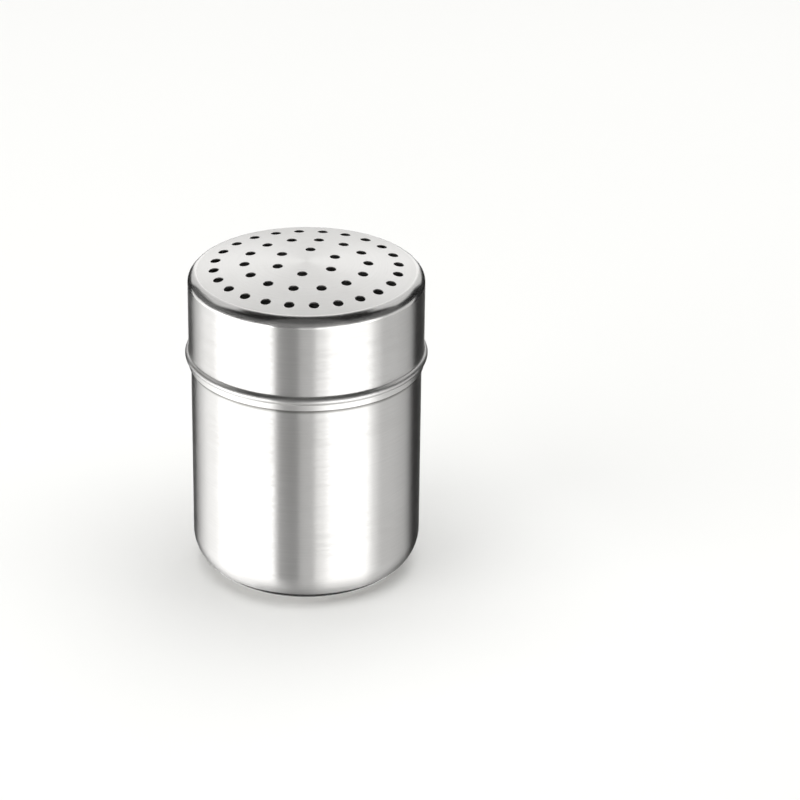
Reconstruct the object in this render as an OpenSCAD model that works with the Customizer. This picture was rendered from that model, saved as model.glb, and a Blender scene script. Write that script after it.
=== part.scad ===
// Kitchen shaker: a deep-drawn steel can under a slip-on perforated lid.
// Origin at the centre of the base, on the surface that the can stands on.
// +Z is up, the axis of both pieces is Z, sizes are in millimetres.

/* [Sheet] */
// Thickness of the steel sheet that both pieces are drawn from
sheet = 0.5; // [0.3:0.05:0.7]

/* [Can] */
// Outer diameter of the can
can_d = 66.6; // [56:0.2:110]
// Height of the can, from the surface it stands on to its mouth
can_h = 90.2; // [60:0.2:180]
// Outer radius of the corner between the can's wall and its base
can_corner_r = 11; // [4:0.5:14]
// Width of the flat ring that the can stands on
foot_w = 3; // [1.5:0.5:5]
// How far the middle of the base is pressed up, clear of the table
base_lift = 1; // [0.6:0.1:1.4]
// Radius of the two bends round the pressed-up middle
base_bend_r = 1.5; // [1.2:0.1:2]

/* [Lid] */
// Gap all round between the can's wall and the lid's skirt
skirt_clearance = 0.2; // [0.1:0.05:0.5]
// Height left between the can's mouth and the corner that it seats in
seat_gap = 0.3; // [0.1:0.05:0.5]
// Height of the skirt, from the corner's widest circle to the lower edge
skirt_h = 25.4; // [15:0.1:40]
// Outer radius of the corner between the skirt and the top
lid_corner_r = 3.2; // [2:0.1:4]
// Outer radius of the sphere that the domed top is part of
dome_r = 170; // [120:5:400]

/* [Bead] */
// How far the bead stands out from the skirt
bead_proud = 1; // [0.6:0.1:1.4]
// Outer radius of the bead's crest
bead_crest_r = 1.2; // [1:0.1:3]
// Radius of the hollow bend above and below the bead
bead_hollow_r = 0.5; // [0.4:0.1:1.2]
// Height of the straight lip below the bead
lip_h = 1.8; // [0.2:0.1:4]

/* [Sprinkling holes] */
// Diameter of each hole
hole_d = 2.8; // [1.5:0.1:3.4]
// Distance from the skirt's outer face to the centres of the outer ring
outer_ring_inset = 7.5; // [6:0.5:10]
// Holes in the inner ring
inner_ring_holes = 6; // [3:1:12]
// Holes in the middle ring
middle_ring_holes = 14; // [6:1:24]
// Holes in the outer ring
outer_ring_holes = 24; // [12:1:36]
// Angle of the inner ring's first hole
inner_ring_turn = -97.7; // [-180:0.1:180]
// Angle of the middle ring's first hole
middle_ring_turn = -76.1; // [-180:0.1:180]
// Angle of the outer ring's first hole
outer_ring_turn = -85.4; // [-180:0.1:180]

/* [Hidden] */
$fn = 144;
steel = [0.80, 0.80, 0.79];
bright_steel = [0.86, 0.86, 0.85];

// Straight lengths that stand for each kind of arc in a section
corner_steps = 10;
dome_steps = 8;
small_bend_steps = 4;
same_point = 0.001;

can_r = can_d / 2;
lid_r = can_r + skirt_clearance + sheet;

// The ring that the can stands on, inside the corner
foot_outer_r = can_r - can_corner_r;
foot_inner_r = foot_outer_r - foot_w;

// Two equal bends carry the sheet from the foot up to the middle of the base
base_bend_angle = acos(1 - base_lift / (2 * base_bend_r));
base_bend_run = 2 * base_bend_r * sin(base_bend_angle);
base_middle_r = foot_inner_r - base_bend_run;

// The can's outer edge meets the inside of the lid's corner this far above the corner's centre
lid_corner_inner_r = lid_corner_r - sheet;
seat_rise = sqrt(pow(lid_corner_inner_r, 2) - pow(lid_corner_inner_r - skirt_clearance, 2));
lid_corner_z = can_h + seat_gap - seat_rise;
lid_corner_centre_r = lid_r - lid_corner_r;
lid_edge_z = lid_corner_z - skirt_h;

// The dome and the corner touch where one line runs through both their centres
dome_lean = asin(lid_corner_centre_r / (dome_r - lid_corner_r));
dome_centre_z = lid_corner_z - (dome_r - lid_corner_r) * cos(dome_lean);
dome_top_z = dome_centre_z + dome_r;

// The bead is one crest between two hollow bends, all touching
bead_centres = bead_crest_r + bead_hollow_r;
bead_angle = acos(1 - bead_proud / bead_centres);
bead_half_h = bead_centres * sin(bead_angle);
bead_z = lid_edge_z + lip_h + bead_half_h;
bead_crest_centre_r = lid_r + bead_proud - bead_crest_r;

// The rings of holes are one pitch apart, from the axis to the outer ring
ring_holes = [inner_ring_holes, middle_ring_holes, outer_ring_holes];
ring_turns = [inner_ring_turn, middle_ring_turn, outer_ring_turn];
ring_pitch = (lid_r - outer_ring_inset) / len(ring_holes);

// Points on an arc about a centre, from one angle to another
function arc(centre, r, from, to, steps) =
    [for (i = [0 : steps]) let (a = from + (to - from) * i / steps) centre + r * [cos(a), sin(a)]];

// A line of points without the ones that repeat where two arcs meet
function joined(points) =
    [for (i = [0 : len(points) - 1])
        if (i == 0 || norm(points[i] - points[i - 1]) > same_point) points[i]];

function reversed(points) = [for (i = [len(points) - 1 : -1 : 0]) points[i]];

// A face of the can's sheet from the axis to the mouth, at a depth below its outer face
function can_face(depth) = joined(concat(
    [[0, base_lift + depth]],
    arc([base_middle_r, base_lift - base_bend_r], base_bend_r + depth,
        90, 90 - base_bend_angle, small_bend_steps),
    arc([foot_inner_r, base_bend_r], base_bend_r - depth,
        -90 - base_bend_angle, -90, small_bend_steps),
    arc([foot_outer_r, can_corner_r], can_corner_r - depth, -90, 0, corner_steps),
    [[can_r - depth, can_h]]));

// A face of the lid's sheet from the axis to the lower edge, at a depth below its outer face
function lid_face(depth) = joined(concat(
    arc([0, dome_centre_z], dome_r - depth, 90, 90 - dome_lean, dome_steps),
    arc([lid_corner_centre_r, lid_corner_z], lid_corner_r - depth,
        90 - dome_lean, 0, corner_steps),
    arc([lid_r + bead_hollow_r, bead_z + bead_half_h], bead_hollow_r + depth,
        180, 180 + bead_angle, small_bend_steps),
    arc([bead_crest_centre_r, bead_z], bead_crest_r - depth,
        bead_angle, -bead_angle, corner_steps),
    arc([lid_r + bead_hollow_r, bead_z - bead_half_h], bead_hollow_r + depth,
        180 - bead_angle, 180, small_bend_steps),
    [[lid_r - depth, lid_edge_z]]));

// One punch for each sprinkling hole, long enough to pass right through the dome
module hole_punches() {
    for (ring = [0 : len(ring_holes) - 1])
        for (hole = [0 : ring_holes[ring] - 1])
            rotate([0, 0, ring_turns[ring] + hole * 360 / ring_holes[ring]])
                translate([ring_pitch * (ring + 1), 0, lid_corner_z])
                    cylinder(d = hole_d, h = dome_top_z - lid_corner_z + sheet);
}

module can() {
    color(steel)
        rotate_extrude()
            polygon(concat(can_face(0), reversed(can_face(sheet))));
}

module lid() {
    color(bright_steel)
        difference() {
            rotate_extrude()
                polygon(concat(lid_face(0), reversed(lid_face(sheet))));
            hole_punches();
        }
}

can();
lid();
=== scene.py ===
from math import acos, asin, cos, pi, radians, sin, sqrt

import bmesh
import bpy
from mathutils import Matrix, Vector
from mathutils.geometry import delaunay_2d_cdt


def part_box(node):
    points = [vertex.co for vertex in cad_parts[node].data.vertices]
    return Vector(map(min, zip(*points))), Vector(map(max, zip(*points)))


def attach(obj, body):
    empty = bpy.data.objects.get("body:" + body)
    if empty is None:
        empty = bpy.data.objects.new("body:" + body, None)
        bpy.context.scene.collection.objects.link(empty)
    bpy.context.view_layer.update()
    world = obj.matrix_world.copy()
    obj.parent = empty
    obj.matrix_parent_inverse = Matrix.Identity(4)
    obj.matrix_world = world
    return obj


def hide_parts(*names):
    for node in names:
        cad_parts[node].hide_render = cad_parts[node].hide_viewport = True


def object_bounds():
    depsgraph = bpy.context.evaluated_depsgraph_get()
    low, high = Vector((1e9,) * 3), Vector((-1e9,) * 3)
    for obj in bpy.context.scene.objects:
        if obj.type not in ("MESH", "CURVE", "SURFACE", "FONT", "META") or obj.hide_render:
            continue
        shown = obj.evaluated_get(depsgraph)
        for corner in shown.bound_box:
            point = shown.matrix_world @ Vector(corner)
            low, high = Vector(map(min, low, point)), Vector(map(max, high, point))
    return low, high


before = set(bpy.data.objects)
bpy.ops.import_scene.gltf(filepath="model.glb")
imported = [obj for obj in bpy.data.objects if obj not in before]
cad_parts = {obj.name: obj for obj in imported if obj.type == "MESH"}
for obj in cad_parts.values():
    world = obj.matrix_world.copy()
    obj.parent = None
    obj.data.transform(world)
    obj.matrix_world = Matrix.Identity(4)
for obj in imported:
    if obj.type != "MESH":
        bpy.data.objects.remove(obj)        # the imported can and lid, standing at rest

mm = 0.001
cadLow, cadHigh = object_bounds()
canLow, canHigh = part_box("can")
lidLow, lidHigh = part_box("lid")
turns = 192              # sides of everything turned about the axis
sheetMm = 0.5            # both pieces are drawn from the same sheet
edgeSteps = 6            # flats in the small round on each side of a cut edge
samePoint = 0.001        # millimetres: points of a section closer than this are one point


# points on an arc of a section, degrees measured from straight out, upwards
def arc(centre, radius, fromDeg, toDeg, steps):
    angles = [radians(fromDeg + (toDeg - fromDeg) * i / steps) for i in range(steps + 1)]
    return [(centre[0] + radius * cos(a), centre[1] + radius * sin(a)) for a in angles]


# a straight stretch, with a ring close to each end so that the bend beside it shades cleanly
def straight(start, end, ringMm=0.25):
    span = sqrt((end[0] - start[0]) ** 2 + (end[1] - start[1]) ** 2)
    if span < 4 * ringMm:
        return [start, end]
    shares = (0, ringMm / span, 1 - ringMm / span, 1)
    return [tuple(start[k] + (end[k] - start[k]) * t for k in (0, 1)) for t in shares]


# the sheet's cut edge, deburred to a small round on both sides
def cutEdge(outerR, innerR, z, up, outerRound, innerRound=0.12):
    sign = 1 if up else -1
    bends = [radians(90 * i / edgeSteps) for i in range(edgeSteps + 1)]
    outer = [(outerR - outerRound * (1 - cos(a)), z - sign * outerRound * (1 - sin(a))) for a in bends]
    inner = [(innerR + innerRound * (1 - sin(a)), z - sign * innerRound * (1 - cos(a))) for a in bends]
    return outer + inner


# turns strokes of a section, in millimetres, about the axis; each stroke has its own finish
def turnStrokes(bm, strokes, finishes):
    previous, last = None, None
    for finish, points in strokes:
        for r, z in points:
            if last and abs(last[0] - r) + abs(last[1] - z) < samePoint:
                continue
            if r < samePoint:
                ring = [bm.verts.new((0, 0, z * mm))]
            else:
                ring = [bm.verts.new((r * mm * cos(a), r * mm * sin(a), z * mm))
                        for a in (2 * pi * i / turns for i in range(turns))]
            for i in range(turns if previous else 0):
                j = (i + 1) % turns
                corners = [previous[i % len(previous)], previous[j % len(previous)],
                           ring[j % len(ring)], ring[i % len(ring)]]
                face = bm.faces.new(list(dict.fromkeys(corners)))
                face.material_index = finishes.index(finish)
            previous, last = ring, (r, z)


# makes an object of the mesh, with its materials
def meshPiece(name, bm, materials, smooth=True):
    bmesh.ops.remove_doubles(bm, verts=bm.verts, dist=samePoint / 2 * mm)
    bmesh.ops.recalc_face_normals(bm, faces=bm.faces)
    mesh = bpy.data.meshes.new(name)
    bm.to_mesh(mesh)
    bm.free()
    for material in materials:
        mesh.materials.append(material)
    mesh.polygons.foreach_set("use_smooth", [smooth] * len(mesh.polygons))
    piece = bpy.data.objects.new(name, mesh)
    bpy.context.scene.collection.objects.link(piece)
    return piece


# an sRGB hex value as linear colour
def linear(code):
    parts = [int(code[i:i + 2], 16) / 255 for i in (1, 3, 5)]
    return tuple(c / 12.92 if c <= 0.04045 else ((c + 0.055) / 1.055) ** 2.4 for c in parts) + (1,)


# adds one node, sets what it is given and links what comes from another node
def addNode(tree, kind, inputs=None, **settings):
    made = tree.nodes.new("ShaderNode" + kind)
    for name, value in settings.items():
        setattr(made, name, value)
    for socket, value in (inputs or {}).items():
        if isinstance(value, bpy.types.NodeSocket):
            tree.links.new(value, made.inputs[socket])
        else:
            made.inputs[socket].default_value = value
    return made


def newMaterial(name):
    material = bpy.data.materials.new(name)
    material.use_nodes = True
    material.node_tree.nodes.clear()
    return material, material.node_tree


# fine scuffs that run one way, gathered in patches, from 0 to 1
def scuffMarks(tree, place, look):
    shares = tuple(1 / (length * mm) for length in look["scuffRunMm"])
    run = addNode(tree, "VectorMath", {0: place, 1: shares}, operation="MULTIPLY")
    marks = addNode(tree, "TexNoise", {"Vector": run.outputs[0], "Scale": 1.0, "Detail": 2.0})
    patches = addNode(tree, "TexNoise", {"Vector": place, "Scale": 1 / (look["scuffPatchMm"] * mm),
                                         "Detail": 2.0})
    thin = addNode(tree, "MapRange", {"Value": marks.outputs[0], "From Min": look["scuffThin"][0],
                                      "From Max": look["scuffThin"][1]})
    near = addNode(tree, "MapRange", {"Value": patches.outputs[0], "From Min": look["scuffFrom"],
                                      "From Max": look["scuffFrom"] + look["scuffFade"]})
    return addNode(tree, "Math", {0: thin.outputs[0], 1: near.outputs[0]}, operation="MULTIPLY")


# a narrow band round the wall, strongest at one height, from 0 to 1
def shadeRingMark(tree, height, atMm, halfMm):
    offset = addNode(tree, "Math", {0: height, 1: atMm * mm}, operation="SUBTRACT")
    away = addNode(tree, "Math", {0: offset.outputs[0]}, operation="ABSOLUTE")
    return addNode(tree, "MapRange", {"Value": away.outputs[0], "From Min": 0.0,
                                      "From Max": halfMm * mm, "To Min": 1.0, "To Max": 0.0},
                   interpolation_type="SMOOTHSTEP")


quarterTurn = 0.25       # blurs lights across the polishing lines, not along them


# bare 18/8 stainless steel, polished on a lathe: lines run round the axis, so a light
# stretches across them, up and down the wall and outwards on the top; handling leaves
# dull smudges, and sliding the lid on and off leaves scuffs
def turnedSteel(name, look, along):
    material, tree = newMaterial(name)
    place = addNode(tree, "TexCoord").outputs["Object"]
    parts = addNode(tree, "SeparateXYZ", {0: place})
    flat = addNode(tree, "CombineXYZ", {0: parts.outputs[0], 1: parts.outputs[1]})
    radius = addNode(tree, "VectorMath", {0: flat.outputs[0]}, operation="LENGTH")
    travel = addNode(tree, "Math", {0: radius.outputs["Value"], 1: parts.outputs[2]},
                     operation="ADD" if along > 0 else "SUBTRACT")
    slow = 1 / (look["lineLengthMm"] * mm)
    fast = 1 / (look["lineWidthMm"] * mm)
    lineX = addNode(tree, "Math", {0: parts.outputs[0], 1: slow}, operation="MULTIPLY")
    lineY = addNode(tree, "Math", {0: parts.outputs[1], 1: slow}, operation="MULTIPLY")
    lineZ = addNode(tree, "Math", {0: travel.outputs[0], 1: fast}, operation="MULTIPLY")
    linePlace = addNode(tree, "CombineXYZ",
                        {0: lineX.outputs[0], 1: lineY.outputs[0], 2: lineZ.outputs[0]})
    lines = addNode(tree, "TexNoise", {"Vector": linePlace.outputs[0], "Scale": 1.0,
                                       "Detail": 3.0, "Roughness": 0.6})
    handling = addNode(tree, "TexNoise", {"Vector": place, "Scale": 1 / (look["smudgeMm"] * mm),
                                          "Detail": 4.0, "Roughness": 0.55})
    smudge = addNode(tree, "MapRange", {"Value": handling.outputs[0], "From Min": look["smudgeFrom"],
                                        "From Max": look["smudgeTo"]})
    scuffs = scuffMarks(tree, place, look)
    lineColour = addNode(tree, "Mix", {"Factor": lines.outputs[0], "A": linear(look["dark"]),
                                       "B": linear(look["light"])}, data_type="RGBA")
    film = addNode(tree, "Math", {0: smudge.outputs[0], 1: look["smudgeTint"]}, operation="MULTIPLY")
    colour = addNode(tree, "Mix", {"Factor": film.outputs[0], "A": lineColour.outputs["Result"],
                                   "B": linear(look["film"])}, data_type="RGBA")
    # a grey ring painted round the wall: painted shade for the gap line under the lid's edge
    if "ringMm" in look:
        ring = shadeRingMark(tree, parts.outputs[2], look["ringMm"], look["ringHalfMm"])
        colour = addNode(tree, "Mix", {"Factor": ring.outputs[0], "A": colour.outputs["Result"],
                                       "B": linear(look["shadeRingColour"])}, data_type="RGBA")
    lineRough = addNode(tree, "MapRange", {"Value": lines.outputs[0], "From Min": look["lineFrom"],
                                           "From Max": look["lineTo"],
                                           "To Min": look["rough"] - look["lineRough"],
                                           "To Max": look["rough"] + look["lineRough"]})
    dulled = addNode(tree, "Math", {0: smudge.outputs[0], 1: look["smudgeRough"],
                                    2: lineRough.outputs[0]}, operation="MULTIPLY_ADD")
    rough = addNode(tree, "Math", {0: scuffs.outputs[0], 1: look["scuffRough"],
                                   2: dulled.outputs[0]}, operation="MULTIPLY_ADD")
    waves = addNode(tree, "Math", {0: handling.outputs[0], 1: look["waveShare"],
                                   2: lines.outputs[0]}, operation="MULTIPLY_ADD")
    relief = addNode(tree, "Math", {0: scuffs.outputs[0], 1: -look["scuffDepth"],
                                    2: waves.outputs[0]}, operation="MULTIPLY_ADD")
    bump = addNode(tree, "Bump", {"Height": relief.outputs[0], "Distance": look["lineDepthMm"] * mm,
                                  "Strength": 1.0})
    around = addNode(tree, "Tangent", direction_type="RADIAL", axis="Z")
    shader = addNode(tree, "BsdfPrincipled", {
        "Base Color": colour.outputs["Result"], "Metallic": look["metallic"],
        "Roughness": rough.outputs[0],
        "Anisotropic": look["anisotropy"], "Anisotropic Rotation": quarterTurn,
        "Tangent": around.outputs[0], "Normal": bump.outputs[0]})
    addNode(tree, "OutputMaterial", {"Surface": shader.outputs[0]})
    return material


# walls: fine grit held against the turning steel gives sharp upright bands of light;
# the lines are really about 0.05 mm apart and are drawn wider, so that they show at all
wallLook = {
    "light": "#D8D7D5", "dark": "#C6C5C3", "film": "#BDBBB6", "metallic": 1.0,
    "rough": 0.32, "anisotropy": 0.96,
    "lineWidthMm": 0.5, "lineLengthMm": 14.0, "lineDepthMm": 0.0007,
    "lineRough": 0.02, "lineFrom": 0.42, "lineTo": 0.58,
    "smudgeMm": 26.0, "smudgeFrom": 0.45, "smudgeTo": 0.7, "smudgeRough": 0.015,
    "smudgeTint": 0.12, "waveShare": 4.0,
    "scuffRunMm": (0.4, 0.4, 9.0), "scuffThin": (0.58, 0.72), "scuffRough": 0.04,
    "scuffDepth": 0.15, "scuffPatchMm": 30.0, "scuffFrom": 0.5, "scuffFade": 0.2,
}
# bends: the drawing die burnishes them, so they mirror more sharply than the walls
bendLook = dict(wallLook, rough=0.2, lineRough=0.01, anisotropy=0.75, waveShare=3.0,
                smudgeRough=0.02, scuffRough=0.06)
# bead: rolled after polishing, so it keeps more of the lines and glints softly
beadLook = dict(bendLook, rough=0.36, lineRough=0.02)
# top: a satin face, whose fine dust and finger grease scatter some light and keep it pale
topLook = dict(wallLook, metallic=0.88, rough=0.38, anisotropy=0.55, lineWidthMm=0.6,
               scuffRunMm=(8.0, 0.45, 0.45), scuffPatchMm=16.0, scuffRough=0.08)
# cut edges: sheared, then tumbled smooth, a dull grey line beside the polished faces; the grey is
# partly the duller sheared steel and partly painted shade for the dark gap line at the lid's edge
edgeLook = dict(wallLook, light="#8F8E8B", dark="#767572", film="#6E6C68", rough=0.42,
                lineRough=0.04, anisotropy=0.3)
# foot: the table has worn the ring that the can stands on, so it is greyer and scratched
footLook = dict(topLook, light="#C6C5C2", dark="#AFAEAB", rough=0.46, scuffFrom=0.35,
                scuffPatchMm=8.0, scuffRough=0.16, scuffDepth=1.5)
# inside: as drawn, with a film that was never polished off, so it looks soft and even
insideLook = dict(wallLook, light="#D2D1CE", dark="#BFBEBB", film="#B3B1AC", metallic=0.55,
                  rough=0.46, lineRough=0.04, anisotropy=0.3, smudgeRough=0.08)
# can's wall: a dull grey ring painted round it, centred 0.3 mm below where the lid's edge comes to
# rest;
# the ring is painted shade, standing for the dark gap line under the lid's edge
canWallLook = dict(wallLook, ringMm=lidLow[2] / mm - 0.3, ringHalfMm=0.9, shadeRingColour="#8B8A87")


# each finish's material name and look; the can and the lid add their own
sharedFinishes = {
    "wall": ("LathePolishedStainless", wallLook),
    "bend": ("BurnishedStainlessBend", bendLook),
    "top": ("SatinStainlessFace", topLook),
    "edge": ("TumbledStainlessEdgeAndShade", edgeLook),
    "inside": ("DrawnStainlessInside", insideLook),
}
canFinishes = dict(sharedFinishes, wall=("LathePolishedStainless", canWallLook),
                   foot=("WornStainlessFoot", footLook))
lidFinishes = dict(sharedFinishes, bead=("RolledStainlessBead", beadLook))


# the materials of one piece; along is 1 where its face climbs on the way out, and -1 where it
# falls, so that the polishing lines run on evenly round the corner
def makeFinishes(prefix, finishes, along):
    return {finish: turnedSteel(prefix + name, look, along)
            for finish, (name, look) in finishes.items()}


canSizes = {
    "radius": canHigh[0] / mm,
    "height": canHigh[2] / mm,
    "corner": 11.0,      # outer radius of the corner at the base
    "foot": 3.0,         # width of the ring it stands on
    "lift": 1.0,         # how far the middle of the base is pressed up
    "baseBend": 1.5,     # radius of the two bends round that middle
    "polishedTo": 40.0,  # degrees down the corner that the lathe polish reaches
    "edgeRound": 0.12,   # of the deburred mouth
    "bendSteps": 8, "cornerSteps": 20,
}


# the can's section from the axis to the mouth, at a depth below its outer face
def canFace(depth):
    s = canSizes
    angle = acos(1 - s["lift"] / (2 * s["baseBend"])) * 180 / pi
    footOuter = s["radius"] - s["corner"]
    footInner = footOuter - s["foot"]
    middle = footInner - 2 * s["baseBend"] * sin(radians(angle))
    return [
        ("top", straight((0, s["lift"] + depth), (middle, s["lift"] + depth))),
        ("bend", arc((middle, s["lift"] - s["baseBend"]), s["baseBend"] + depth,
                     90, 90 - angle, s["bendSteps"])),
        ("bend", arc((footInner, s["baseBend"]), s["baseBend"] - depth,
                     -90 - angle, -90, s["bendSteps"])),
        ("foot", straight((footInner, depth), (footOuter, depth))),
        ("bend", arc((footOuter, s["corner"]), s["corner"] - depth,
                     -90, -s["polishedTo"], s["cornerSteps"])),
        ("wall", arc((footOuter, s["corner"]), s["corner"] - depth,
                     -s["polishedTo"], 0, s["cornerSteps"])),
        ("wall", straight((s["radius"] - depth, s["corner"]),
                          (s["radius"] - depth, s["height"] - s["edgeRound"]))),
    ]


def makeCan():
    bm = bmesh.new()
    finishes = makeFinishes("can", canFinishes, 1)
    names = list(finishes)
    inner = [("inside", points[::-1]) for _, points in reversed(canFace(sheetMm))]
    mouth = ("edge", cutEdge(canSizes["radius"], canSizes["radius"] - sheetMm,
                             canSizes["height"], True, canSizes["edgeRound"]))
    turnStrokes(bm, canFace(0) + [mouth] + inner, names)
    can = meshPiece("canShell", bm, finishes.values())
    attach(can, "can")
    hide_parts("can")
    print("can made", len(can.data.polygons), "faces")


lidSizes = {
    "clearance": 0.2,    # all round, between the can's wall and the skirt
    "lowerEdge": lidLow[2] / mm,
    "top": lidHigh[2] / mm,
    "skirt": 25.4,       # from the corner's widest circle to the lower edge
    "corner": 3.2,       # outer radius between the skirt and the top
    "dome": 170.0,       # outer radius of the sphere that the top is part of
    "crest": 1.2,        # outer radius of the bead
    "hollow": 0.5,       # radius of the bends above and below the bead
    "lip": 1.8,          # straight height below the bead
    "edgeRound": 0.36,   # the lower edge is rolled in a little, so that it doesn't cut
    "cornerSteps": 26, "hollowSteps": 10, "crestSteps": 20,
}
lidSizes["radius"] = canSizes["radius"] + lidSizes["clearance"] + sheetMm
lidSizes["proud"] = lidHigh[0] / mm - lidSizes["radius"]

# sprinkling holes: three rings, one pitch apart, with the angle of each ring's first hole
holeSizes = {
    "rings": [(6, -97.7), (14, -76.1), (24, -85.4)],
    "diameter": 2.8,
    "outerInset": 7.5,   # from the skirt's outer face to the centres of the outer ring
    "roll": 0.22,        # how far the punch draws the top's face down round each hole
    "flare": 0.04,       # how much wider the hole breaks out underneath
    "shearShare": 0.75,  # of the sheet's thickness, above where it breaks out
    "sides": 32, "rollSteps": 5,
    "meshSpacing": 1.5,  # between the points that the face is meshed with
    "collars": (0.35, 0.95),     # two rings of points, this far outside each hole's edge
    "clearOf": 1.7,      # the face's other points stay this far outside it
}


# the lid's section from the dome's edge to the lower edge, at a depth below its outer face
def lidFace(depth):
    s = lidSizes
    cornerR, cornerZ = s["radius"] - s["corner"], s["lowerEdge"] + s["skirt"]
    lean = asin(cornerR / (s["dome"] - s["corner"])) * 180 / pi
    centres = s["crest"] + s["hollow"]
    angle = acos(1 - s["proud"] / centres) * 180 / pi
    half = centres * sin(radians(angle))
    beadZ = s["lowerEdge"] + s["lip"] + half
    wallR = s["radius"] - depth
    return [
        ("bend", arc((cornerR, cornerZ), s["corner"] - depth, 90 - lean, 0, s["cornerSteps"])),
        ("wall", straight((wallR, cornerZ), (wallR, beadZ + half))),
        ("bead", arc((s["radius"] + s["hollow"], beadZ + half), s["hollow"] + depth,
                     180, 180 + angle, s["hollowSteps"])),
        ("bead", arc((s["radius"] + s["proud"] - s["crest"], beadZ), s["crest"] - depth,
                     angle, -angle, s["crestSteps"])),
        ("bead", arc((s["radius"] + s["hollow"], beadZ - half), s["hollow"] + depth,
                     180 - angle, 180, s["hollowSteps"])),
        ("bead", straight((wallR, beadZ - half), (wallR, s["lowerEdge"] + s["edgeRound"]))),
    ]


# height of the dome over a point of the plan, on a face at a depth in the sheet
def domeHeight(r, depth):
    s = lidSizes
    return s["top"] - s["dome"] + sqrt((s["dome"] - depth) ** 2 - r * r)


def holeCentres():
    pitch = (lidSizes["radius"] - holeSizes["outerInset"]) / len(holeSizes["rings"])
    centres = []
    for ring, (count, first) in enumerate(holeSizes["rings"]):
        for i in range(count):
            angle = radians(first + 360 * i / count)
            centres.append(Vector((pitch * (ring + 1) * cos(angle), pitch * (ring + 1) * sin(angle))))
    return centres


def circlePoints(centre, radius, count):
    return [centre + radius * Vector((cos(2 * pi * i / count), sin(2 * pi * i / count)))
            for i in range(count)]


# one face of the domed top, meshed round its holes
def perforatedFace(bm, edgeR, depth, holeR, material):
    centres = holeCentres()
    points, edges = [], []
    for loop in [circlePoints(Vector((0, 0)), edgeR, turns)] + [
            circlePoints(c, holeR, holeSizes["sides"]) for c in centres]:
        first = len(points)
        points += loop
        edges += [(first + i, first + (i + 1) % len(loop)) for i in range(len(loop))]
    for c in centres:
        for i, collar in enumerate(holeSizes["collars"]):
            points += circlePoints(c, holeR + collar, holeSizes["sides"] // (i + 1))
    step = holeSizes["meshSpacing"]
    rings = int(edgeR / step)
    for ring in range(rings):
        r = ring * edgeR / rings
        count = max(1, round(2 * pi * r / step))
        for p in circlePoints(Vector((0, 0)), r, count):
            if min((p - c).length for c in centres) > holeR + holeSizes["clearOf"]:
                points.append(p)
    insideOutline, joinMm = 1, 1e-5      # keeps triangles inside the outline, joins points this near
    flat, _, triangles, _, _, _ = delaunay_2d_cdt(points, edges, [], insideOutline, joinMm)
    verts = [bm.verts.new((p.x * mm, p.y * mm, domeHeight(p.length, depth) * mm)) for p in flat]
    insideHole = holeR * 0.98    # a triangle whose middle is nearer than this fills a hole
    for triangle in triangles:
        middle = sum((flat[i] for i in triangle), Vector((0, 0))) / len(triangle)
        if min((middle - c).length for c in centres) > insideHole:
            face = bm.faces.new([verts[i] for i in triangle])
            face.material_index = material
    bmesh.ops.delete(bm, geom=[v for v in verts if not v.link_faces], context="VERTS")


# the punch draws the sheet down a little where it enters, then shears it
def punchedWalls(bm, material):
    roll, holeR = holeSizes["roll"], holeSizes["diameter"] / 2
    bends = [radians(90 * i / holeSizes["rollSteps"]) for i in range(holeSizes["rollSteps"] + 1)]
    levels = [(holeR + roll * (1 - sin(a)), roll * (1 - cos(a))) for a in bends]
    levels += [(holeR, sheetMm * holeSizes["shearShare"]), (holeR + holeSizes["flare"], sheetMm)]
    for centre in holeCentres():
        previous = None
        for r, drop in levels:
            loop = [bm.verts.new((p.x * mm, p.y * mm, domeHeight(p.length, drop) * mm))
                    for p in circlePoints(centre, r, holeSizes["sides"])]
            if previous:
                for i in range(len(loop)):
                    j = (i + 1) % len(loop)
                    face = bm.faces.new([previous[i], previous[j], loop[j], loop[i]])
                    face.material_index = material
            previous = loop


def makeLid():
    bm = bmesh.new()
    finishes = makeFinishes("lid", lidFinishes, -1)
    names = list(finishes)
    outer = lidFace(0)
    inner = [("inside", points[::-1]) for _, points in reversed(lidFace(sheetMm))]
    lip = ("edge", cutEdge(lidSizes["radius"], lidSizes["radius"] - sheetMm,
                           lidSizes["lowerEdge"], False, lidSizes["edgeRound"]))
    turnStrokes(bm, outer + [lip] + inner, names)
    holeR = holeSizes["diameter"] / 2
    perforatedFace(bm, outer[0][1][0][0], 0, holeR + holeSizes["roll"], names.index("top"))
    perforatedFace(bm, inner[-1][1][-1][0], sheetMm, holeR + holeSizes["flare"],
                   names.index("inside"))
    punchedWalls(bm, names.index("bend"))
    lid = meshPiece("lidShell", bm, finishes.values())
    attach(lid, "lid")
    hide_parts("lid")
    print("lid made", len(lid.data.polygons), "faces")


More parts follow.
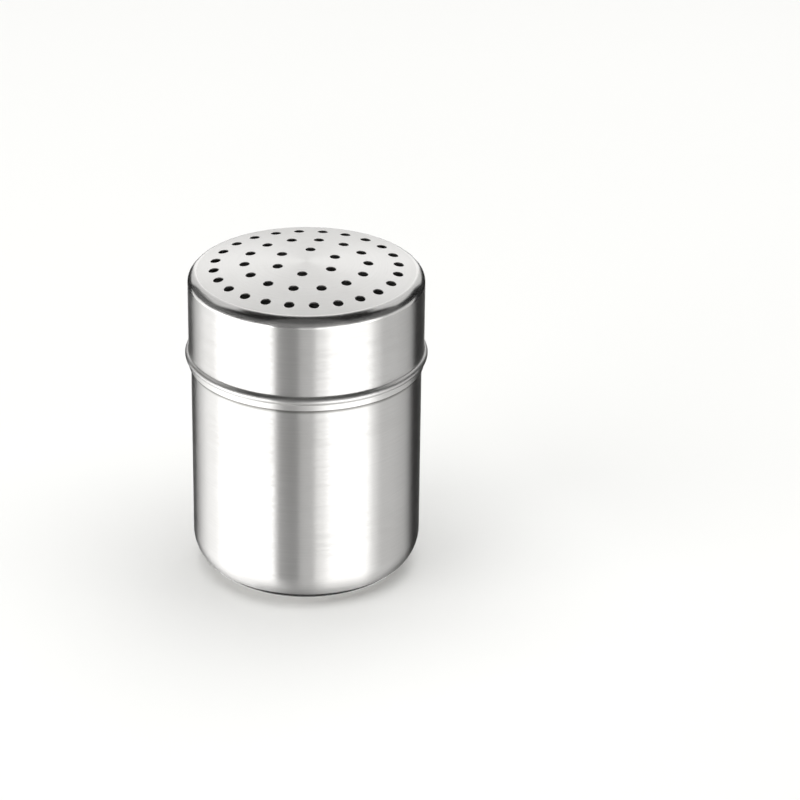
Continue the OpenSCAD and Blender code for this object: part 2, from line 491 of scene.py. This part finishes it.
studio = {
    "floor": "#F4F4F2", "floorDrift": "#F1F1EF", "floorDriftMm": 250.0, "floorRadius": 5.0,
    "world": "#2A2A2A",
    "panelDistance": 1.5, "panelRows": 8, "panelColumnDeg": 4,
    # lamps light the floor and anything dull: place, size and power
    "lamps": {
        "overheadSoftbox": ((0.2, 0.1, 2.6), 3.6, 108),
        "leftSoftbox": ((-1.8, -1.2, 1.5), 1.8, 18),
    },
    # panels that the steel mirrors: from and to round the object, 0 towards the camera and
    # positive to its right, then lowest and highest elevation, in degrees, and brightness
    "panels": {
        "leftBox": (-95, -31, -44, -5, 3.0),
        "leftSide": (-119, -95, -44, -5, 1.9),
        "leftBack": (-136, -119, -44, -5, 1.3),
        "frontShade": (-31, -7, -44, -5, 0.42),
        "frontGap": (-7, 9, -44, -5, 1.0),
        "rightEdge": (9, 20, -44, -5, 2.1),
        "rightBox": (20, 65, -44, -5, 3.0),
        "rightSide": (65, 74, -44, -5, 1.7),
        "rightWide": (74, 97, -44, -5, 1.0),
        "rightBack": (97, 122, -44, -5, 0.9),
        "leftLow": (-136, -25, -66, -44, 1.25),
        "frontLow": (-25, 20, -66, -44, 0.7),
        "rightLow": (20, 122, -66, -44, 0.95),
        "floorGlow": (-110, 110, -89, -66, 0.55),
        "floorBack": (110, 250, -89, -76, 0.12),
        "behind": (166, 194, -44, -5, 1.6),
        "frontSky": (-40, 40, 0, 34, 0.28),
        "overhead": (-40, 40, 34, 88, 0.13),
        "leftSky": (-135, -40, 0, 34, 0.15),
        "rightSky": (40, 100, 0, 34, 0.14),
        "backBox": (160, 200, 4, 64, 1.42),
        "backLeft": (220, 260, 28, 58, 0.85),
        "backLeftLow": (200, 220, 8, 58, 0.85),
        "backRight": (100, 140, 28, 58, 0.85),
        "backRightLow": (140, 160, 8, 58, 0.85),
    },
}


def emitter(name, strength):
    material, tree = newMaterial(name)
    glow = addNode(tree, "Emission", {"Color": (1, 1, 1, 1), "Strength": strength})
    addNode(tree, "OutputMaterial", {"Surface": glow.outputs[0]})
    material.cycles.emission_sampling = "NONE"
    return material


# a curved panel that only the steel sees
def makePanel(name, fromDeg, toDeg, lowDeg, highDeg, strength):
    bm = bmesh.new()
    columns = max(2, int((toDeg - fromDeg) / studio["panelColumnDeg"]))
    rows = []
    for k in range(studio["panelRows"] + 1):
        elevation = radians(lowDeg + (highDeg - lowDeg) * k / studio["panelRows"])
        row = []
        for i in range(columns + 1):
            heading = radians(-90 + fromDeg + (toDeg - fromDeg) * i / columns)
            out = studio["panelDistance"] * Vector((cos(elevation) * cos(heading),
                                                    cos(elevation) * sin(heading), sin(elevation)))
            row.append(bm.verts.new(out + Vector((0, 0, cadHigh[2] / 2))))
        rows.append(row)
    for low, high in zip(rows, rows[1:]):
        for i in range(columns):
            bm.faces.new([low[i], low[i + 1], high[i + 1], high[i]])
    panel = meshPiece(name, bm, [emitter(name + "Glow", strength)])
    panel.visible_camera = False
    panel.visible_diffuse = False
    panel.visible_shadow = False


# a board in rolled matt emulsion paint: pale, with a slow drift in tone and almost no shine
def makeFloor():
    material, tree = newMaterial("palePaintedFloor")
    across = 2 * studio["floorRadius"]   # the noise is counted over the floor's whole width
    drift = addNode(tree, "TexNoise", {"Scale": across / (studio["floorDriftMm"] * mm), "Detail": 2.0})
    tone = addNode(tree, "Mix", {"Factor": drift.outputs[0], "A": linear(studio["floorDrift"]),
                                 "B": linear(studio["floor"])}, data_type="RGBA")
    shader = addNode(tree, "BsdfPrincipled", {"Base Color": tone.outputs["Result"],
                                              "Roughness": 0.9, "Specular IOR Level": 0.1})
    addNode(tree, "OutputMaterial", {"Surface": shader.outputs[0]})
    bm = bmesh.new()
    bmesh.ops.create_circle(bm, cap_ends=True, segments=96, radius=studio["floorRadius"])
    floor = meshPiece("floor", bm, [material], smooth=False)
    floor.visible_glossy = False


# a plain bright surround, which only the camera sees
def makeBackdrop():
    bm = bmesh.new()
    bmesh.ops.create_uvsphere(bm, u_segments=48, v_segments=24, radius=studio["floorRadius"])
    backdrop = meshPiece("backdrop", bm, [emitter("paleBackdropGlow", 1.0)])
    backdrop.visible_glossy = False
    backdrop.visible_diffuse = False
    backdrop.visible_shadow = False


def makeLights():
    world = bpy.data.worlds.new("dimStudio")
    bpy.context.scene.world = world
    world.use_nodes = True
    world.node_tree.nodes["Background"].inputs["Color"].default_value = linear(studio["world"])
    for name, (place, size, power) in studio["lamps"].items():
        light = bpy.data.lights.new(name, "AREA")
        light.energy = power
        light.size = size
        lamp = bpy.data.objects.new(name, light)
        lamp.location = place
        aim = Vector((0, 0, cadHigh[2] / 2)) - lamp.location
        lamp.rotation_euler = aim.to_track_quat("-Z", "Y").to_euler()
        lamp.visible_glossy = False
        bpy.context.scene.collection.objects.link(lamp)


view = {
    "distance": 0.972, "elevation": 26.17,       # metres from where it points, and degrees up
    "aimShare": 0.468,   # of the height, up the axis, where the camera points
    "lens": 150.0, "shiftX": 0.117, "shiftY": 0.026, "clipStart": 0.01,
}


def makeCamera():
    camera = bpy.data.cameras.new("camera")
    camera.lens = view["lens"]
    camera.shift_x = view["shiftX"]
    camera.shift_y = view["shiftY"]
    camera.clip_start = view["clipStart"]
    holder = bpy.data.objects.new("camera", camera)
    rise = radians(view["elevation"])
    aim = Vector((0, 0, cadHigh[2] * view["aimShare"]))
    holder.location = aim + view["distance"] * Vector((0, -cos(rise), sin(rise)))
    holder.rotation_euler = (pi / 2 - rise, 0, 0)
    bpy.context.scene.collection.objects.link(holder)
    bpy.context.scene.camera = holder


makeCamera()
print("camera set")
makeCan()
makeLid()
for name, spec in studio["panels"].items():
    makePanel(name, *spec)
makeFloor()
makeBackdrop()
makeLights()
bpy.context.scene.view_settings.view_transform = "Standard"
print("studio made")
